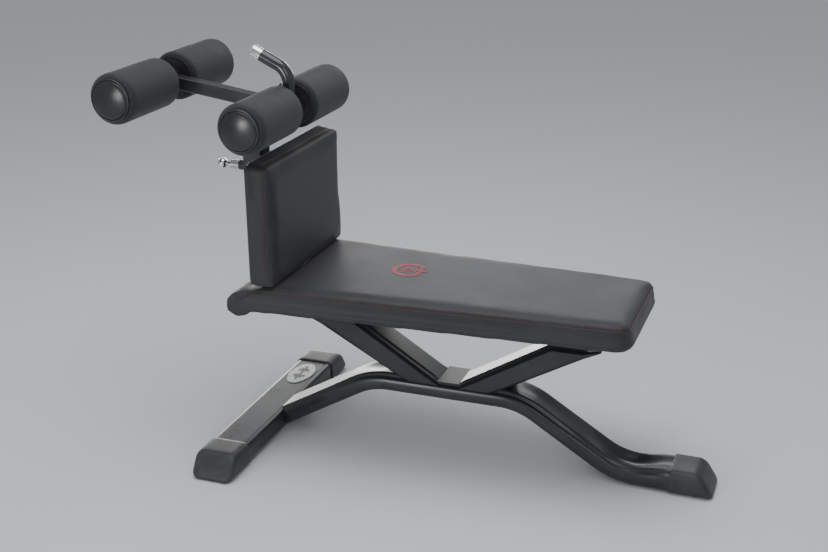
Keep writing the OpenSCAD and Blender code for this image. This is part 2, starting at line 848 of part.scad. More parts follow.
module handle_grip() {
  color(PLASTIC) difference() {
    handle_path(grip_r, grip_start_z, handle_cap_len);
    handle_path(tube_handle_r, grip_start_z - 5, handle_cap_len - 5);
  }
}

module handle_cap() {
  color(CHROME) translate([handle_x, 0, handle_corner_z]) rotate([0, -90 + handle_deg, 0]) difference() {
    union() {
      translate([0, 0, handle_run - handle_cap_len]) cylinder(h = handle_cap_len - 3, r = grip_r + 0.4);
      translate([0, 0, handle_run - 3.05]) cylinder(h = 3.05, r = grip_r - 2);
      translate([0, 0, handle_run - 3]) rotate_extrude() translate([grip_r - 2.6, 0]) circle(r = 3);
    }
    translate([0, 0, handle_run - handle_cap_len - 1]) cylinder(h = handle_cap_len - 3, r = tube_handle_r);
  }
}

// Roller pieces along +Y, as they sit on the right of the middle
module foam_shape() {
  y0 = roller_in_y + inner_cap_t + 0.2;
  y1 = roller_out_y - 4;
  bore_r = core_r + 0.2;
  in_r = 10;
  out_r = 15;
  rotate([-90, 0, 0]) rotate_extrude() difference() {
    union() {
      translate([bore_r, y0]) square([roller_r - bore_r - in_r, y1 - y0 - out_r]);
      translate([bore_r, y0 + in_r]) square([roller_r - bore_r, y1 - y0 - in_r - out_r]);
      translate([bore_r, y0 + in_r]) square([roller_r - bore_r - out_r, y1 - y0 - in_r]);
      translate([roller_r - in_r, y0 + in_r]) circle(r = in_r);
      translate([roller_r - out_r, y1 - out_r]) circle(r = out_r);
    }
    translate([0, y1 - 14]) square([core_r + 3.7, 20]);
  }
}

module core_shape() {
  difference() {
    translate([0, roller_in_y, 0]) rod_y(core_end_y - roller_in_y, core_r);
    translate([0, roller_in_y - 1, 0]) rod_y(core_end_y - roller_in_y + 2, axle_r + axle_gap);
  }
}

module inner_cap_shape() {
  difference() {
    translate([0, roller_in_y, 0]) rod_y(inner_cap_t, roller_r - 9);
    translate([0, roller_in_y - 1, 0]) rod_y(inner_cap_t + 2, core_r);
    for (r = [32, 44]) {
      translate([0, roller_in_y - 1, 0]) difference() {
        rod_y(2, r);
        translate([0, -1, 0]) rod_y(4, r - 2);
      }
    }
  }
}

module dome_shape() {
  face_y = roller_out_y - 4 + fit;
  rotate([-90, 0, 0]) rotate_extrude() difference() {
    union() {
      intersection() {
        translate([0, roller_out_y + dome_h - dome_sphere_r]) circle(r = dome_sphere_r, $fn = 360);
        translate([0, face_y]) square([dome_cap_r, 30]);
      }
      translate([0, face_y - 12]) square([core_r + 3.4, 14]);
    }
    translate([0, face_y - 13]) square([core_r, 21]);
  }
}

// Places a roller piece on an axle; s is -1 for the left, 1 for the right
module on_axle(x, z, s) {
  translate([x, 0, z]) rotate([0, 0, s > 0 ? 0 : 180]) children();
}

module knee_left_foam() {
  color(FOAM) on_axle(knee_x, knee_z, -1) foam_shape();
}

module knee_left_core() {
  color(PLASTIC) on_axle(knee_x, knee_z, -1) core_shape();
}

module knee_left_inner_cap() {
  color(PLASTIC) on_axle(knee_x, knee_z, -1) inner_cap_shape();
}

module knee_left_dome() {
  color(PLASTIC) on_axle(knee_x, knee_z, -1) dome_shape();
}

module knee_right_foam() {
  color(FOAM) on_axle(knee_x, knee_z, 1) foam_shape();
}

module knee_right_core() {
  color(PLASTIC) on_axle(knee_x, knee_z, 1) core_shape();
}

module knee_right_inner_cap() {
  color(PLASTIC) on_axle(knee_x, knee_z, 1) inner_cap_shape();
}

module knee_right_dome() {
  color(PLASTIC) on_axle(knee_x, knee_z, 1) dome_shape();
}

module ankle_left_foam() {
  color(FOAM) on_axle(ankle_x, ankle_z, -1) foam_shape();
}

module ankle_left_core() {
  color(PLASTIC) on_axle(ankle_x, ankle_z, -1) core_shape();
}

module ankle_left_inner_cap() {
  color(PLASTIC) on_axle(ankle_x, ankle_z, -1) inner_cap_shape();
}

module ankle_left_dome() {
  color(PLASTIC) on_axle(ankle_x, ankle_z, -1) dome_shape();
}

module ankle_right_foam() {
  color(FOAM) on_axle(ankle_x, ankle_z, 1) foam_shape();
}

module ankle_right_core() {
  color(PLASTIC) on_axle(ankle_x, ankle_z, 1) core_shape();
}

module ankle_right_inner_cap() {
  color(PLASTIC) on_axle(ankle_x, ankle_z, 1) inner_cap_shape();
}

module ankle_right_dome() {
  color(PLASTIC) on_axle(ankle_x, ankle_z, 1) dome_shape();
}

front_foot_tube();
front_foot_cap_left();
front_foot_cap_right();
badge();
badge_icon();
base_tube();
rear_foot_cap();
v_front_leg();
v_rear_leg();
v_saddle();
seat_beam();
seat_beam_plug();
upright_sleeve();
sleeve_liner();
sleeve_plug();
pop_pin_boss();
pop_pin_barrel();
pop_pin_spring();
pad_mount_front();
pad_mount_rear();
pad_mount_bolts();
back_pad_board();
back_pad();
leg_pad_bracket_lower();
leg_pad_bracket_upper();
leg_pad_bolts();
leg_pad_board();
leg_pad();
pop_pin_plunger();
pop_pin_knob();
inner_post();
post_collar();
roller_arm();
knee_hub();
ankle_hub();
knee_axle();
ankle_axle();
knee_axle_bolts();
ankle_axle_bolts();
handle_tube();
handle_grip();
handle_cap();
knee_left_foam();
knee_left_core();
knee_left_inner_cap();
knee_left_dome();
knee_right_foam();
knee_right_core();
knee_right_inner_cap();
knee_right_dome();
ankle_left_foam();
ankle_left_core();
ankle_left_inner_cap();
ankle_left_dome();
ankle_right_foam();
ankle_right_core();
ankle_right_inner_cap();
ankle_right_dome();
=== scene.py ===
import math

import bmesh
import bpy
import numpy as np
from mathutils import Matrix, Vector
from mathutils.bvhtree import BVHTree


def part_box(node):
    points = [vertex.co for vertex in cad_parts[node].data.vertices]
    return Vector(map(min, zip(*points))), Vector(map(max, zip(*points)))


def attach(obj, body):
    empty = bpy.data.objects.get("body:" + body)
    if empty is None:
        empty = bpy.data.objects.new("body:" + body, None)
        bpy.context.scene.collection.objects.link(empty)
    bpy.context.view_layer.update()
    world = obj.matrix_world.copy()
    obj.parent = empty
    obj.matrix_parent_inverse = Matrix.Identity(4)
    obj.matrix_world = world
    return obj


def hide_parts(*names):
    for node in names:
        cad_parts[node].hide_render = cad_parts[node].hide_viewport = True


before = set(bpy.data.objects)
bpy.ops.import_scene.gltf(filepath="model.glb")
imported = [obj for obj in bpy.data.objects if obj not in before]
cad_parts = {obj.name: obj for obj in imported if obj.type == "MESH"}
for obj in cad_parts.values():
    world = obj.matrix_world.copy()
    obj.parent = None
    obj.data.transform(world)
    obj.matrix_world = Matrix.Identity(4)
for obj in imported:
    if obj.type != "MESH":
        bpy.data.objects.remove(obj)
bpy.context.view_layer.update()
MM = 0.001

# ---------------------------------------------------------------- Studio
# The bench stands on a plain pale floor under a wide soft lamp and two front fills. Two cards
# behind it show in reflections only, and draw the bright tops of the tubes and the pad.

floor_mesh = bpy.data.meshes.new("studio_floor")
floor_half = 30.0
floor_mesh.from_pydata([(-floor_half, -floor_half, 0), (floor_half, -floor_half, 0),
                        (floor_half, floor_half, 0), (-floor_half, floor_half, 0)], [], [(0, 1, 2, 3)])
studio_floor = bpy.data.objects.new("studio_floor", floor_mesh)
studio_floor.location.z = -0.0006
bpy.context.scene.collection.objects.link(studio_floor)
floor_paper = bpy.data.materials.new("floor_paper")
floor_paper.use_nodes = True
floor_shader = floor_paper.node_tree.nodes["Principled BSDF"]
floor_shader.inputs["Base Color"].default_value = (0.80, 0.81, 0.82, 1)
floor_shader.inputs["Roughness"].default_value = 0.85
floor_shader.inputs["Specular IOR Level"].default_value = 0.0
floor_mesh.materials.append(floor_paper)

studio_air = bpy.data.worlds.new("studio_air")
studio_air.use_nodes = True
studio_air.node_tree.nodes["Background"].inputs["Color"].default_value = (0.80, 0.83, 0.87, 1)
studio_air.node_tree.nodes["Background"].inputs["Strength"].default_value = 0.46
bpy.context.scene.world = studio_air


def soft_lamp(name, place, target, size, power, only_gloss=False):
    """A square area lamp that looks at target. A card that is only_gloss shows in reflections alone."""
    lamp = bpy.data.lights.new(name, "AREA")
    lamp.shape = "RECTANGLE"
    lamp.size, lamp.size_y = size
    lamp.energy = power
    holder = bpy.data.objects.new(name, lamp)
    bpy.context.scene.collection.objects.link(holder)
    holder.location = place
    holder.rotation_euler = (Vector(target) - Vector(place)).to_track_quat("-Z", "Y").to_euler()
    holder.visible_camera = False
    holder.visible_diffuse = not only_gloss
    return holder


bench_middle = (0.0, 0.0, 0.4)
soft_lamp("lamp_top", (-0.2, -0.2, 3.2), bench_middle, (2.4, 1.8), 52)
soft_lamp("card_back", (-0.1, 3.4, 2.1), bench_middle, (1.8, 1.3), 24, only_gloss=True)
soft_lamp("card_back_left", (-2.0, 3.3, 0.5), bench_middle, (2.4, 1.2), 80, only_gloss=True)
soft_lamp("lamp_front_low", (-1.3, -3.7, 0.75), (-0.3, 0.0, 0.7), (0.6, 0.6), 28)
soft_lamp("lamp_front", (1.8, -3.4, 2.4), bench_middle, (2.0, 1.4), 20)

camera_right = Vector((0.93853, 0.34511, -0.00771))
camera_down = Vector((0.11441, -0.33207, -0.93629))
camera_ahead = Vector((-0.32569, 0.87785, -0.35114))
camera_lens = bpy.data.cameras.new("camera")
camera_lens.sensor_width = 36.0
camera_lens.lens = 54.93
camera = bpy.data.objects.new("camera", camera_lens)
camera_turn = Matrix((camera_right, -camera_down, -camera_ahead)).transposed().to_4x4()
camera.matrix_world = Matrix.Translation((0.9282, -2.5678, 1.4566)) @ camera_turn
bpy.context.scene.collection.objects.link(camera)
bpy.context.scene.camera = camera

# ---------------------------------------------------------------- Front foot
# A cross tube of flat section, 98 by 52 mm, bent steel with 14 mm corners, powder coated in
# satin charcoal. Each end goes into a moulded rubber boot with a sloping, rounded toe.


def coated(name, dark, light, patch, rough, grain, depth, metallic=0.0, specular=0.5):
    """A surface with patches between two shades, wandering roughness and fine relief."""
    material = bpy.data.materials.new(name)
    material.use_nodes = True
    tree = material.node_tree
    shader = tree.nodes["Principled BSDF"]
    shader.inputs["Metallic"].default_value = metallic
    shader.inputs["Specular IOR Level"].default_value = specular
    place = tree.nodes.new("ShaderNodeTexCoord")
    patches = tree.nodes.new("ShaderNodeTexNoise")
    patches.inputs["Scale"].default_value = patch
    patches.inputs["Detail"].default_value = 5.0
    shades = tree.nodes.new("ShaderNodeValToRGB")
    shades.color_ramp.elements[0].position = 0.34
    shades.color_ramp.elements[0].color = (*dark, 1)
    shades.color_ramp.elements[1].position = 0.68
    shades.color_ramp.elements[1].color = (*light, 1)
    wander = tree.nodes.new("ShaderNodeMapRange")
    wander.inputs["From Min"].default_value = 0.3
    wander.inputs["From Max"].default_value = 0.7
    wander.inputs["To Min"].default_value = rough[0]
    wander.inputs["To Max"].default_value = rough[1]
    fine = tree.nodes.new("ShaderNodeTexNoise")
    fine.inputs["Scale"].default_value = grain
    fine.inputs["Detail"].default_value = 3.0
    relief = tree.nodes.new("ShaderNodeBump")
    relief.inputs["Strength"].default_value = 0.6
    relief.inputs["Distance"].default_value = depth
    links = tree.links
    links.new(place.outputs["Object"], patches.inputs["Vector"])
    links.new(place.outputs["Object"], fine.inputs["Vector"])
    links.new(patches.outputs["Fac"], shades.inputs["Fac"])
    links.new(shades.outputs["Color"], shader.inputs["Base Color"])
    links.new(patches.outputs["Fac"], wander.inputs["Value"])
    links.new(wander.outputs["Result"], shader.inputs["Roughness"])
    links.new(fine.outputs["Fac"], relief.inputs["Height"])
    links.new(relief.outputs["Normal"], shader.inputs["Normal"])
    return material


powder_coat = coated("powder_coat", (0.022, 0.023, 0.025), (0.034, 0.035, 0.038), 14.0,
                     (0.26, 0.33), 620.0, 0.000008)
boot_rubber = coated("boot_rubber", (0.036, 0.036, 0.038), (0.052, 0.052, 0.055), 30.0,
                     (0.42, 0.55), 1100.0, 0.00012, specular=0.42)


def dress(material, slot_name, edge, *nodes):
    """Gives CAD nodes their material, and a small round on their sharp edges."""
    for node in nodes:
        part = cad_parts[node]
        part.data.materials.clear()
        part.data.materials.append(material)
        if edge:
            bevel = part.modifiers.new("edge_round", "BEVEL")
            bevel.width = edge * MM
            bevel.segments = 2
            bevel.limit_method = "ANGLE"
            bevel.angle_limit = math.radians(35)
            bevel.harden_normals = True


def finish_piece(name, mesh, material, body, crisp=40):
    """Turns a mesh into a smooth piece with outward faces that rides on its body."""
    work = bmesh.new()
    work.from_mesh(mesh)
    bmesh.ops.recalc_face_normals(work, faces=work.faces)
    work.to_mesh(mesh)
    work.free()
    mesh.polygons.foreach_set("use_smooth", [True] * len(mesh.polygons))
    mesh.set_sharp_from_angle(angle=math.radians(crisp))
    piece = bpy.data.objects.new(name, mesh)
    bpy.context.scene.collection.objects.link(piece)
    mesh.materials.append(material)
    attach(piece, body)
    return piece


def mesh_through(name, rings):
    """Closed mesh through rings of points, in metres, that all have the same count."""
    count = len(rings[0])
    faces = []
    for k in range(len(rings) - 1):
        for i in range(count):
            j = (i + 1) % count
            faces.append((k * count + i, k * count + j, (k + 1) * count + j, (k + 1) * count + i))
    faces.append(tuple(reversed(range(count))))
    faces.append(tuple(range((len(rings) - 1) * count, len(rings) * count)))
    mesh = bpy.data.meshes.new(name)
    mesh.from_pydata([tuple(p) for ring in rings for p in ring], [], faces)
    return mesh


def flat_section(width, height, corner, hollow=0.0, dish=0.0, steps=7):
    """Section of the flat tube as (across, up) in mm. hollow draws the upper corners in between
    two ridges, and dish sinks the top face between them."""
    corner = min(corner, width / 2 - 0.2, height / 2 - 0.2)
    points = []
    for sx, sy in ((1, 1), (-1, 1), (-1, -1), (1, -1)):
        for k in range(steps + 1):
            share = k / steps
            turn = share if sx * sy > 0 else 1 - share
            angle = turn * math.pi / 2
            pull = hollow * math.sin(math.pi * share) ** 1.3 if sy > 0 else 0.0
            reach = corner - pull
            points.append((sx * (width / 2 - corner + reach * math.cos(angle)),
                           sy * (height / 2 - corner + reach * math.sin(angle))))
        if (sx, sy) == (1, 1):
            span = width / 2 - corner
            for k in range(1, 16):
                across = span * (1 - k / 8)
                sink = dish * math.cos(across / span * math.pi / 2) ** 1.5
                points.append((across, height / 2 - sink))
    return points


dress(powder_coat, "frame_paint", 0, "front_foot_tube")


def toe_boot(name, node, width, height, length, slope, ahead, side):
    """Rubber boot over a tube end: its mouth at the tube, its toe sloping back towards the top."""
    low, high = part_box(node)
    centre = (low + high) / 2
    mouth = centre - ahead * (length / 2 * MM)
    mouth.z = 0.0
    toe = 15.0
    lip = 1.4
    corner = 18.0
    stations = [(12.0, 2.6, 0), (lip, 2.6, 0), (0.0, 2.0, 0), (0.0, lip, 0), (0.35, 0.5, 0),
                (lip, 0.0, 0)]
    stations += [(length * k / 12, 0.0, 0) for k in range(1, 8)]
    for k in range(9):
        angle = math.radians(90 * k / 8)
        stations.append((length - toe + toe * math.sin(angle), toe * (1 - math.cos(angle)), 1))
    for share in (0.8, 0.55, 0.3, 0.1):
        stations.append((length + 1.2 * (1 - share), toe + (height / 2 - toe) * (1 - share) * 0.98, 1))
    rings = []
    for along, inset, sloped in stations:
        squeeze = min(inset, height / 2 - 0.5)
        ring = []
        ring_corner = corner - min(inset, 12)
        for across, up in flat_section(width - 2 * squeeze, height - 2 * squeeze, ring_corner):
            level = up + height / 2
            if sloped:
                share = 1.0
            else:
                share = min(1.0, max(0.0, along / length - 0.2) / 0.5) * along / length
            back = slope * level / height * share
            spot = mouth + ahead * ((along - back) * MM) + side * (across * MM)
            ring.append((spot.x, spot.y, level * MM))
        rings.append(ring)
    boot = finish_piece(name, mesh_through(name, rings), boot_rubber, "frame", 60)
    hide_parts(node)
    return boot


boot_w, boot_h = 104.0, 58.0
toe_boot("front_boot_left", "front_foot_cap_left", boot_w, boot_h, 111.0, 38.0,
         Vector((0, -1, 0)), Vector((1, 0, 0)))
toe_boot("front_boot_right", "front_foot_cap_right", boot_w, boot_h, 111.0, 38.0,
         Vector((0, 1, 0)), Vector((-1, 0, 0)))

# The badge is a domed white plastic oval, glued to the foot near its right end, with a plain
# barbell sign moulded in black.

badge_white = coated("badge_white", (0.86, 0.86, 0.85), (0.93, 0.93, 0.92), 60.0,
                     (0.22, 0.32), 900.0, 0.00004)
badge_ink = coated("badge_ink", (0.012, 0.012, 0.013), (0.022, 0.022, 0.024), 80.0,
                   (0.35, 0.5), 1200.0, 0.00004)
dress(badge_white, "badge_white", 0.5, "badge")
dress(badge_ink, "badge_dark", 0.2, "badge_icon")

# ---------------------------------------------------------------- Base tube
# One length of the same flat tube, bent three times on a press: up from the foot, level under
# the V, down and out flat to the rear. The press draws its upper corners in between two
# ridges and dishes its top at the bends, most of all at the one near the floor.

base_corners = [(-396.0, 10.0), (-124.0, 168.5), (244.0, 168.5), (473.0, 25.5), (640.0, 25.5)]
base_bend = 170.0
tube_w, tube_h, tube_corner = 96, 45, 14


def bent_line(corners, radius, step):
    """Points and headings along a line with round bends, as (x, z, angle), about step mm apart."""
    spots = []
    at = Vector(corners[0])
    for i in range(1, len(corners)):
        corner = Vector(corners[i])
        heading = (corner - Vector(corners[i - 1])).normalized()
        if i + 1 < len(corners):
            after = (Vector(corners[i + 1]) - corner).normalized()
            turn = math.atan2(heading.x * after.y - heading.y * after.x, heading.dot(after))
            cut = radius * math.tan(abs(turn) / 2)
        else:
            turn, cut = 0.0, 0.0
        stop = corner - heading * cut
        angle = math.atan2(heading.y, heading.x)
        pieces = max(1, round((stop - at).length / step))
        for k in range(pieces):
            spot = at.lerp(stop, k / pieces)
            spots.append((spot.x, spot.y, angle))
        if turn:
            sign = 1 if turn > 0 else -1
            hub = stop + Vector((-heading.y, heading.x)) * radius * sign
            pieces = max(4, round(abs(turn) * radius / step))
            for k in range(pieces):
                now = angle + turn * k / pieces
                spots.append((hub.x + sign * radius * math.sin(now),
                              hub.y - sign * radius * math.cos(now), now))
            at = corner + after * cut
        else:
            at = stop
            spots.append((at.x, at.y, angle))
    return spots


def rise(value, start, end):
    """Smooth step from 0 at start to 1 at end."""
    share = min(1.0, max(0.0, (value - start) / (end - start)))
    return share * share * (3 - 2 * share)


base_rings = []
for x, z, angle in bent_line(base_corners, base_bend, 7.0):
    if x < -370:
        continue
    heel = rise(x, 515, 592)
    height = tube_h + 7 * heel
    width = tube_w + 3 * rise(x, 540, 596)
    hollow = 1.5 + 4.5 * rise(x, -230, -120) - 2.8 * rise(x, 300, 400) + 2.2 * rise(x, 430, 480)
    front_dish = 3.0 * rise(x, -190, -125) * (1 - rise(x, -105, -64))
    rear_dish = 3.4 * rise(x, 208, 250) * (1 - rise(x, 300, 400))
    floor_dish = 13.0 * rise(x, 372, 470) * (1 - 0.62 * rise(x, 505, 592))
    lift = 3.5 * heel
    dish = front_dish + rear_dish + floor_dish
    ring = []
    for across, up in flat_section(width, height, tube_corner, hollow, dish):
        up += lift
        ring.append(((x - up * math.sin(angle)) * MM, across * MM, (z + up * math.cos(angle)) * MM))
    base_rings.append(ring)
base_tube = finish_piece("bent_base_tube", mesh_through("bent_base_tube", base_rings), powder_coat,
                         "frame", 50)
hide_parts("base_tube")

toe_boot("rear_boot", "rear_foot_cap", 106.0, boot_h, 104.0, 37.0,
         Vector((1, 0, 0)), Vector((0, 1, 0)))

# ---------------------------------------------------------------- V support
# Two legs of the flat tube spread from a flat saddle on the base tube up to the seat beam.
# Their ends are sawn to the slope and welded, and each leg grows deeper towards the beam.

v_foot_z, v_top_z, saddle_z = 170.0, 322.0, 192.5
v_leg_w, v_leg_t = 90, 53


def v_leg(name, node, saddle_x, way, upper_deg, lower_deg, reach):
    """One leg of the V from the saddle out to reach mm, cut level where it meets the beam."""
    rings = []
    stations = [0.0, 1.0, 3.0] + [reach * k / 48 for k in range(1, 49)]
    for out in stations:
        top = min(saddle_z + out * math.tan(math.radians(upper_deg)), v_top_z)
        under = v_leg_t / math.cos(math.radians(lower_deg))
        bottom = max(saddle_z - under + out * math.tan(math.radians(lower_deg)), v_foot_z)
        height = top - bottom
        ring = [((saddle_x + way * out) * MM, across * MM, ((top + bottom) / 2 + up) * MM)
                for across, up in flat_section(v_leg_w, height, tube_corner, 5.5)]
        rings.append(ring)
    leg = finish_piece(name, mesh_through(name, rings), powder_coat, "frame", 35)
    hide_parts(node)
    return leg


v_leg("v_leg_front", "v_front_leg", 48.0, -1, 32.0, 28.5, 342.0)
v_leg("v_leg_rear", "v_rear_leg", 101.0, 1, 31.0, 29.5, 328.0)
dress(powder_coat, "frame_paint", 0.4, "v_saddle")

# ---------------------------------------------------------------- Beam and upright
# A 60 by 48 mm seat beam is welded to the square sleeve that carries the post. Both are powder
# coated; plastic plugs close their open ends and a plastic liner guides the post.

moulded_black = coated("moulded_black", (0.022, 0.022, 0.024), (0.034, 0.034, 0.036), 40.0,
                       (0.38, 0.5), 1300.0, 0.00008, specular=0.45)
dress(powder_coat, "frame_paint", 0.5, "seat_beam", "upright_sleeve", "pad_mount_front",
      "pad_mount_rear", "leg_pad_bracket_lower", "leg_pad_bracket_upper", "pop_pin_boss",
      "post_collar")
dress(moulded_black, "black_plastic", 0.6, "seat_beam_plug", "sleeve_plug", "sleeve_liner")

# ---------------------------------------------------------------- Bolts and boards
# Zinc-plated bolts hold two black-stained plywood boards to their plates. The foam and the
# cover wrap over the boards.

zinc = coated("zinc_plate", (0.42, 0.43, 0.45), (0.60, 0.61, 0.63), 220.0, (0.26, 0.40), 1500.0,
              0.00005, metallic=1.0)
dress(zinc, "zinc_steel", 0.3, "pad_mount_bolts", "leg_pad_bolts", "knee_axle_bolts",
      "ankle_axle_bolts", "knee_axle", "ankle_axle", "pop_pin_barrel", "pop_pin_spring",
      "handle_tube")

plywood = coated("stained_plywood", (0.020, 0.017, 0.015), (0.045, 0.038, 0.032), 18.0,
                 (0.6, 0.75), 500.0, 0.0002, specular=0.3)
ply_tree = plywood.node_tree
veneer = ply_tree.nodes.new("ShaderNodeTexWave")
veneer.inputs["Scale"].default_value = 22.0
veneer.inputs["Distortion"].default_value = 6.0
veneer.inputs["Detail"].default_value = 3.0
veneer.bands_direction = "Y"
veneer_mix = ply_tree.nodes.new("ShaderNodeMix")
veneer_mix.data_type = "RGBA"
veneer_mix.inputs[7].default_value = (0.060, 0.050, 0.042, 1)
ply_ramp = next(n for n in ply_tree.nodes if n.type == "VALTORGB")
ply_shader = ply_tree.nodes["Principled BSDF"]
ply_tree.links.new(ply_ramp.outputs["Color"], veneer_mix.inputs[6])
ply_tree.links.new(veneer.outputs["Fac"], veneer_mix.inputs[0])
ply_tree.links.new(veneer_mix.outputs[2], ply_shader.inputs["Base Color"])
dress(plywood, "plywood", 0.5, "back_pad_board", "leg_pad_board")

# ---------------------------------------------------------------- Back pad
# Dense foam on a plywood board, wrapped in charcoal leatherette. The top panel is sewn to the
# boxing with a dark red lockstitch just under its edge, and the seat end droops into a roll.


def leatherette(name, dark, light):
    """Embossed leather grain: small pebbles, faint creases and a dull sheen."""
    material = coated(name, dark, light, 9.0, (0.46, 0.56), 1400.0, 0.00005, specular=0.32)
    tree = material.node_tree
    shader = tree.nodes["Principled BSDF"]
    shader.inputs["Sheen Weight"].default_value = 0.08
    shader.inputs["Sheen Roughness"].default_value = 0.5
    place = next(n for n in tree.nodes if n.type == "TEX_COORD")
    fine = next(n for n in tree.nodes if n.type == "BUMP")
    pebbles = tree.nodes.new("ShaderNodeTexVoronoi")
    pebbles.inputs["Scale"].default_value = 780.0
    pebble_relief = tree.nodes.new("ShaderNodeBump")
    pebble_relief.inputs["Strength"].default_value = 0.5
    pebble_relief.inputs["Distance"].default_value = 0.00022
    creases = tree.nodes.new("ShaderNodeTexNoise")
    creases.inputs["Scale"].default_value = 26.0
    creases.inputs["Detail"].default_value = 6.0
    crease_relief = tree.nodes.new("ShaderNodeBump")
    crease_relief.inputs["Strength"].default_value = 0.25
    crease_relief.inputs["Distance"].default_value = 0.0022
    tree.links.new(place.outputs["Object"], pebbles.inputs["Vector"])
    tree.links.new(place.outputs["Object"], creases.inputs["Vector"])
    tree.links.new(pebbles.outputs["Distance"], pebble_relief.inputs["Height"])
    tree.links.new(creases.outputs["Fac"], crease_relief.inputs["Height"])
    tree.links.new(fine.outputs["Normal"], pebble_relief.inputs["Normal"])
    tree.links.new(pebble_relief.outputs["Normal"], crease_relief.inputs["Normal"])
    tree.links.new(crease_relief.outputs["Normal"], shader.inputs["Normal"])
    return material


cover_leather = leatherette("charcoal_leatherette", (0.030, 0.030, 0.033), (0.042, 0.042, 0.046))
red_thread = coated("red_thread", (0.11, 0.010, 0.014), (0.19, 0.018, 0.024), 900.0, (0.5, 0.7), 2600.0,
                    0.0002, specular=0.3)


def evaluated_mesh(piece):
    """The piece's mesh with its modifiers on it."""
    return bpy.data.meshes.new_from_object(piece.evaluated_get(bpy.context.evaluated_depsgraph_get()))


def read_points(mesh):
    points = np.empty(len(mesh.vertices) * 3, np.float32)
    mesh.vertices.foreach_get("co", points)
    return points.reshape(-1, 3).astype(float)


def stuffed(name, node, voxel, slack, give, pressure, even, is_held):
    """A CAD cushion remeshed, drawn in by slack mm and blown up as cloth. The movement is evened out
    over the neighbours and held to give mm."""
    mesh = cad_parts[node].data.copy()
    mesh.name = name
    mesh.materials.clear()
    piece = bpy.data.objects.new(name, mesh)
    bpy.context.scene.collection.objects.link(piece)
    weld = piece.modifiers.new("weld", "WELD")
    weld.merge_threshold = 0.00005
    remesh = piece.modifiers.new("voxels", "REMESH")
    remesh.mode = "VOXEL"
    remesh.voxel_size = voxel * MM
    relax = piece.modifiers.new("relax", "CORRECTIVE_SMOOTH")
    relax.iterations = 6
    relax.use_only_smooth = True
    bpy.context.view_layer.update()
    fresh = evaluated_mesh(piece)
    piece.modifiers.clear()
    piece.data = fresh
    normals = np.empty(len(fresh.vertices) * 3, np.float32)
    fresh.vertices.foreach_get("normal", normals)
    start = read_points(fresh)
    held = np.array([is_held(p) for p in start])
    start = start - normals.reshape(-1, 3) * (slack * MM) * (~held)[:, None]
    fresh.vertices.foreach_set("co", start.astype(np.float32).ravel())
    fresh.update()
    group = piece.vertex_groups.new(name="held")
    group.add([int(i) for i in np.nonzero(held)[0]], 1.0, "REPLACE")
    cloth = piece.modifiers.new("stuffing", "CLOTH")
    cloth.settings.quality = 5
    cloth.settings.mass = 0.4
    cloth.settings.tension_stiffness = 25
    cloth.settings.compression_stiffness = 25
    cloth.settings.bending_stiffness = 4
    cloth.settings.use_pressure = True
    cloth.settings.uniform_pressure_force = pressure
    cloth.settings.vertex_group_mass = "held"
    cloth.settings.effector_weights.gravity = 0
    cloth.point_cache.frame_start = 1
    cloth.point_cache.frame_end = 20
    for step in range(1, 21):
        bpy.context.scene.frame_set(step)
    blown = evaluated_mesh(piece)
    move = read_points(blown) - start
    edges = np.empty(len(fresh.edges) * 2, np.int32)
    fresh.edges.foreach_get("vertices", edges)
    one, two = edges.reshape(-1, 2).T
    valence = np.bincount(edges, minlength=len(start))[:, None]
    for _ in range(even):
        spread = np.zeros_like(move)
        np.add.at(spread, one, move[two])
        np.add.at(spread, two, move[one])
        move = 0.3 * move + 0.7 * spread / np.maximum(valence, 1)
        move[held] = 0
    length = np.linalg.norm(move, axis=1)
    keep = np.minimum(1.0, give * MM / np.maximum(length, 1e-9))
    piece.modifiers.clear()
    fresh.vertices.foreach_set("co", (start + move * keep[:, None]).astype(np.float32).ravel())
    fresh.update()
    bpy.context.scene.frame_set(1)
    subdivide = piece.modifiers.new("subdivide", "SUBSURF")
    subdivide.levels = subdivide.render_levels = 1
    bpy.context.view_layer.update()
    smooth = evaluated_mesh(piece)
    piece.modifiers.clear()
    piece.data = smooth
    smooth.polygons.foreach_set("use_smooth", [True] * len(smooth.polygons))
    smooth.materials.append(cover_leather)
    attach(piece, "frame")
    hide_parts(node)
    return piece


def press_groove(piece, path, width, depth):
    """Sinks the cover along a seam, depth mm deep and about width mm to each side."""
    mesh = piece.data
    points = read_points(mesh)
    normals = np.empty(len(mesh.vertices) * 3, np.float32)
    mesh.vertices.foreach_get("normal", normals)
    normals = normals.reshape(-1, 3).astype(float)
    line = np.array([list(p) for p, _ in path])
    low, high = line.min(0) - 0.02, line.max(0) + 0.02
    near = np.nonzero(((points > low) & (points < high)).all(1))[0]
    for i in near:
        away = np.sqrt(((line - points[i]) ** 2).sum(1).min()) / MM
        if away < 3 * width:
            points[i] -= normals[i] * depth * MM * math.exp(-(away / width) ** 2)
    mesh.vertices.foreach_set("co", points.astype(np.float32).ravel())
    mesh.update()


def lay_on(piece, guide):
    """Guide points with their outward ways, dropped on to the piece's skin from outside."""
    tree = BVHTree.FromPolygons([v.co for v in piece.data.vertices],
                                [p.vertices for p in piece.data.polygons])
    found = []
    for spot, out in guide:
        hit, normal, _, _ = tree.ray_cast(Vector(spot) + Vector(out) * 0.04, -Vector(out), 0.08)
        if hit is not None:
            found.append((hit, normal))
    return found


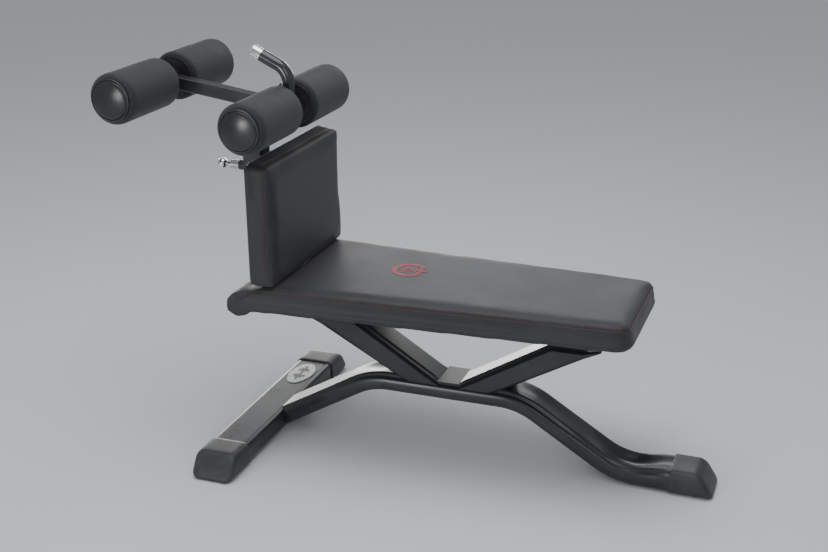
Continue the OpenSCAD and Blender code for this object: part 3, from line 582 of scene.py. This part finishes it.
def even_steps(guide, step):
    """The guide taken again at even steps, in mm."""
    line = [Vector(p) for p, _ in guide]
    ways = [Vector(w) for _, w in guide]
    total = [0.0]
    for a, b in zip(line, line[1:]):
        total.append(total[-1] + (b - a).length)
    count = int(total[-1] / (step * MM))
    taken, k = [], 0
    for i in range(count + 1):
        want = total[-1] * i / count
        while k < len(total) - 2 and total[k + 1] < want:
            k += 1
        share = (want - total[k]) / max(total[k + 1] - total[k], 1e-9)
        taken.append((line[k].lerp(line[k + 1], share), ways[k].lerp(ways[k + 1], share).normalized()))
    return taken


def thread_run(name, path, radius, lift, dash, gap, sides, material, body):
    """Stitches, or a whole cord where gap is 0, lying on a seam path."""
    points, faces = [], []
    length = dash if gap else len(path) - 1
    for first in range(0, len(path) - length, length + gap):
        run = path[first:first + length + 1]
        base = len(points)
        for k, (spot, normal) in enumerate(run):
            ahead = (run[min(k + 1, len(run) - 1)][0] - run[max(k - 1, 0)][0]).normalized()
            across = ahead.cross(normal).normalized()
            up = across.cross(ahead).normalized()
            ends = k in (0, len(run) - 1)
            thick = radius * (0.35 if ends else 1.0) * MM
            middle = spot + up * (lift - (0.5 * radius if ends else 0)) * MM
            for i in range(sides):
                angle = 2 * math.pi * i / sides
                points.append(tuple(middle + across * thick * math.cos(angle)
                                    + up * thick * math.sin(angle)))
        for k in range(len(run) - 1):
            for i in range(sides):
                j = (i + 1) % sides
                faces.append((base + k * sides + i, base + k * sides + j,
                              base + (k + 1) * sides + j, base + (k + 1) * sides + i))
        faces.append(tuple(base + i for i in reversed(range(sides))))
        last = base + (len(run) - 1) * sides
        faces.append(tuple(last + i for i in range(sides)))
    mesh = bpy.data.meshes.new(name)
    mesh.from_pydata(points, [], faces)
    return finish_piece(name, mesh, material, body, 80)


pad_top, board_under = 0.431, 0.374
pad_seat_x, pad_head_x = -0.3386, 0.516
pad_seat_half, pad_head_half = 0.210, 0.160
seam_drop, stitch_step = 8.5, 1.6
back_pad = stuffed("back_pad_cover", "back_pad", 5.5, 1.5, 5.5, 4.0, 30,
                   lambda p: p[2] < board_under + 0.016 and p[0] > -0.345)


def pad_half(x):
    """Half the pad's width at x, in metres: it narrows towards the head end."""
    share = (x - pad_seat_x) / (pad_head_x - pad_seat_x)
    return pad_seat_half + (pad_head_half - pad_seat_half) * share


def back_pad_seam(drop):
    """The seam's guide: up one side, round the head end and back, drop mm under the top."""
    half_guide = []
    for k in range(9):
        angle = math.radians(115 - 6 * k)
        reach = 0.032 - drop * MM
        spot = Vector((-0.379 + reach * math.cos(angle), 0, 0.383 + reach * math.sin(angle)))
        half_guide.append(spot)
    for x in np.linspace(-0.352, -0.322, 4):
        half_guide.append(Vector((x, 0, pad_top - drop * MM - 0.0045 * (1 - (x + 0.352) / 0.030))))
    side = []
    for spot in half_guide:
        side.append((Vector((spot.x, -pad_half(spot.x), spot.z)), Vector((0, -1, 0))))
    for x in np.linspace(-0.30, 0.466, 60):
        side.append((Vector((x, -pad_half(x), pad_top - drop * MM)), Vector((0, -1, 0))))
    corner_r, corner_x, corner_y = 0.044, 0.472, 0.1185
    for k in range(1, 13):
        angle = math.radians(-90 + 90 * k / 12)
        way = Vector((math.cos(angle), math.sin(angle), 0))
        side.append((Vector((corner_x, -corner_y, pad_top - drop * MM)) + way * corner_r, way))
    end = [(Vector((pad_head_x, y, pad_top - drop * MM)), Vector((1, 0, 0)))
           for y in np.linspace(-0.11, 0.11, 23)]
    back = [(Vector((p.x, -p.y, p.z)), Vector((w.x, -w.y, w.z))) for p, w in reversed(side)]
    return side + end + back


# The top panel falls away over its last inch to the seam.
fall_mesh = back_pad.data
fall_points = read_points(fall_mesh)
fall_run, fall_drop = 0.030, 0.0055
for point in fall_points:
    if point[2] > 0.405 and point[0] > -0.36:
        to_side = (pad_half(point[0]) - abs(point[1])) * 0.998
        to_head = pad_head_x - point[0]
        near = max(0.0, 1 - max(0.0, min(to_side, to_head)) / fall_run)
        point[2] -= fall_drop * near ** 2 * rise(point[2], 0.405, 0.425)
fall_mesh.vertices.foreach_set("co", fall_points.astype(np.float32).ravel())
fall_mesh.update()

seam = lay_on(back_pad, even_steps(back_pad_seam(seam_drop), stitch_step))
press_groove(back_pad, seam, 3.0, 1.0)
seam = lay_on(back_pad, even_steps(back_pad_seam(seam_drop), stitch_step))
thread_run("back_pad_stitches", seam, 0.75, 0.35, 3, 1, 6, red_thread, "frame")
welt = lay_on(back_pad, even_steps(back_pad_seam(12.5), 6.0))
thread_run("back_pad_welt", welt, 1.7, -0.3, 1, 0, 8, cover_leather, "frame")

# A plain red sign is printed on the top of the pad: an open ring round a small barbell.

print_red = coated("print_red", (0.30, 0.010, 0.025), (0.42, 0.022, 0.045), 120.0, (0.42, 0.55), 1400.0,
                   0.00008, specular=0.35)
sign_x, sign_y = -0.043, 0.020
sign_ring = []
for k in range(49):
    angle = math.radians(35 + 290 * k / 48)
    sign_ring.append([(sign_x + r * math.cos(angle), sign_y + r * math.sin(angle))
                      for r in (0.031, 0.041)])
sign_strips = [sign_ring]
for x0, x1, half in ((-0.020, 0.046, 0.0035), (-0.016, -0.008, 0.017), (-0.005, 0.001, 0.011),
                     (0.022, 0.030, 0.017), (0.012, 0.018, 0.011)):
    steps = max(2, round((x1 - x0) / 0.003))
    sign_strips.append([[(sign_x + x0 + (x1 - x0) * k / steps, sign_y + s * half) for s in (-1, 1)]
                        for k in range(steps + 1)])
pad_tree = BVHTree.FromPolygons([v.co for v in back_pad.data.vertices],
                                [p.vertices for p in back_pad.data.polygons])
sign_points, sign_faces = [], []
for strip in sign_strips:
    base = len(sign_points)
    for pair in strip:
        for lift in (0.35, -0.8):
            for x, y in pair:
                hit = pad_tree.ray_cast(Vector((x, y, 0.6)), Vector((0, 0, -1)))[0]
                sign_points.append((x, y, hit.z + lift * MM))
    for k in range(len(strip) - 1):
        a = base + 4 * k
        b = a + 4
        sign_faces += [(a, a + 1, b + 1, b), (a + 3, a + 2, b + 2, b + 3), (a, b, b + 2, a + 2),
                       (a + 1, a + 3, b + 3, b + 1)]
    last = base + 4 * (len(strip) - 1)
    sign_faces += [(base, base + 2, base + 3, base + 1), (last, last + 1, last + 3, last + 2)]
sign_mesh = bpy.data.meshes.new("pad_sign")
sign_mesh.from_pydata(sign_points, [], sign_faces)
finish_piece("pad_sign", sign_mesh, print_red, "frame", 30)

# ---------------------------------------------------------------- Leg pad
# The upright pad in front of the sleeve, built as the back pad is: its stitched seam runs up
# both sides and over the top, just behind the front face.

leg_front, leg_back = -0.288, -0.350
leg_half, leg_foot, leg_head = 0.203, 0.432, 0.722
leg_seam_behind = 14.0
leg_pad = stuffed("leg_pad_cover", "leg_pad", 5.0, 1.5, 5.5, 4.0, 30,
                  lambda p: p[0] < leg_back + 0.016 or p[2] < leg_foot + 0.010)


def leg_pad_seam(behind):
    """Guide up the left side, over the top and down the right, behind mm behind the front."""
    x = leg_front - behind * MM
    corner = 0.025
    side = [(Vector((x, -leg_half, z)), Vector((0, -1, 0)))
            for z in np.linspace(0.452, leg_head - corner, 18)]
    for k in range(1, 10):
        angle = math.radians(180 - 90 * k / 10)
        way = Vector((0, math.cos(angle), math.sin(angle)))
        side.append((Vector((x, -leg_half + corner, leg_head - corner)) + way * corner, way))
    top = [(Vector((x, y, leg_head)), Vector((0, 0, 1)))
           for y in np.linspace(-leg_half + corner, leg_half - corner, 30)]
    back = [(Vector((p.x, -p.y, p.z)), Vector((w.x, -w.y, w.z))) for p, w in reversed(side)]
    return side + top + back


leg_seam = lay_on(leg_pad, even_steps(leg_pad_seam(leg_seam_behind), stitch_step))
press_groove(leg_pad, leg_seam, 3.0, 1.0)
leg_seam = lay_on(leg_pad, even_steps(leg_pad_seam(leg_seam_behind), stitch_step))
thread_run("leg_pad_stitches", leg_seam, 0.75, 0.35, 3, 1, 6, red_thread, "frame")
leg_welt = lay_on(leg_pad, even_steps(leg_pad_seam(10.0), 6.0))
thread_run("leg_pad_welt", leg_welt, 1.6, -0.3, 1, 0, 8, cover_leather, "frame")

# ---------------------------------------------------------------- Pop pin
# A turned steel barrel screws on to the boss and houses the spring. The plunger ends in a
# chromed ball that a hand draws out to free the post.

chrome = coated("bright_chrome", (0.72, 0.73, 0.75), (0.86, 0.87, 0.88), 60.0, (0.06, 0.14), 1400.0,
                0.000003, metallic=1.0)
dress(chrome, "bright_chrome", 0.4, "pop_pin_plunger", "pop_pin_knob", "inner_post", "handle_cap")

# ---------------------------------------------------------------- Roller arm
# The square arm is welded to the post's mitred head and to a hub at each end. The hubs hold
# the steel axles that the rollers turn on.

dress(powder_coat, "frame_paint", 0.5, "roller_arm", "knee_hub", "ankle_hub")

# ---------------------------------------------------------------- Handle
# A bent steel tube rises from the knee hub, dipped in glossy black vinyl to within an inch of
# its end, which keeps a bright chromed cap.

dipped_vinyl = coated("dipped_vinyl", (0.028, 0.028, 0.030), (0.040, 0.040, 0.043), 35.0, (0.16, 0.26),
                      500.0, 0.00012, specular=0.6)
dress(dipped_vinyl, "black_plastic", 0.5, "handle_grip")

# ---------------------------------------------------------------- Rollers
# Four foam rollers turn on the axles. Each is a fat sleeve of closed-cell foam with round
# shoulders on a plastic core, with a ribbed disc inside and a domed satin cap outside.

roller_foam = coated("roller_foam", (0.016, 0.016, 0.018), (0.024, 0.024, 0.027), 20.0,
                     (0.62, 0.78), 900.0, 0.00018, specular=0.38)
foam_shader = roller_foam.node_tree.nodes["Principled BSDF"]
foam_shader.inputs["Sheen Weight"].default_value = 0.12
foam_shader.inputs["Sheen Roughness"].default_value = 0.6
satin_plastic = coated("satin_plastic", (0.020, 0.020, 0.022), (0.030, 0.030, 0.033), 25.0,
                       (0.24, 0.32), 900.0, 0.00006, specular=0.5)


def turned(name, profile, centre, way, material, body, segments=96, crisp=35):
    """A closed turned shape about an axle along Y: profile as (radius, distance out), in mm."""
    rings = []
    for radius, out in profile:
        ring = []
        for i in range(segments):
            angle = 2 * math.pi * i / segments
            ring.append((centre.x + radius * MM * math.cos(angle), centre.y + way * out * MM,
                         centre.z + radius * MM * math.sin(angle)))
        rings.append(ring)
    count = len(rings)
    faces = []
    for k in range(count):
        n = (k + 1) % count
        for i in range(segments):
            j = (i + 1) % segments
            faces.append((k * segments + i, k * segments + j, n * segments + j, n * segments + i))
    mesh = bpy.data.meshes.new(name)
    mesh.from_pydata([p for ring in rings for p in ring], [], faces)
    return finish_piece(name, mesh, material, body, crisp)


def shoulder(radius, out, round_r, start_deg, end_deg, steps=9):
    """Points of a rounded shoulder about (radius, out), in mm and degrees."""
    return [(radius + round_r * math.cos(math.radians(start_deg + (end_deg - start_deg) * k / steps)),
             out + round_r * math.sin(math.radians(start_deg + (end_deg - start_deg) * k / steps)))
            for k in range(steps + 1)]


foam_profile = [(20.5, 34.7), (34.0, 34.7)] + shoulder(48, 44.7, 10, -90, 0)
foam_profile += [(58.0, out) for out in range(60, 220, 20)] + shoulder(43, 223, 15, 0, 90) + [(24, 238)]
foam_profile += [(20.5, 224.0)]
dome_ball = 148.0


def dome_at(radius):
    """How far out the round face of the cap lies at this radius, in mm."""
    return 250.0 - dome_ball + math.sqrt(dome_ball ** 2 - radius ** 2)


dome_profile = [(0.4, 238.3), (46.6, 238.3), (47.6, 238.9), (48.0, 239.9), (47.8, 241.4), (47.0, 242.3),
                (45.4, 242.9), (44.6, 242.8), (44.1, 241.9), (43.5, 241.6), (42.9, 242.0), (42.4, 243.2),
                (41.4, dome_at(41.4))]
dome_profile += [(r, dome_at(r)) for r in (36, 30, 24, 18, 12, 6, 0.4)]

for row in ("knee", "ankle"):
    for hand, way in (("left", -1), ("right", 1)):
        body = f"roller_{row}_{hand}"
        low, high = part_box(f"{row}_{hand}_foam")
        centre = Vector(((low.x + high.x) / 2, 0, (low.z + high.z) / 2))
        foam = turned(f"{row}_{hand}_roller", foam_profile, centre, way, roller_foam,
                      body)
        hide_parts(f"{row}_{hand}_foam")
        dome = turned(f"{row}_{hand}_cap", dome_profile, centre, way, satin_plastic,
                      body)
        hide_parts(f"{row}_{hand}_dome")
        dress(moulded_black, "black_plastic", 0.3, f"{row}_{hand}_core",
              f"{row}_{hand}_inner_cap")
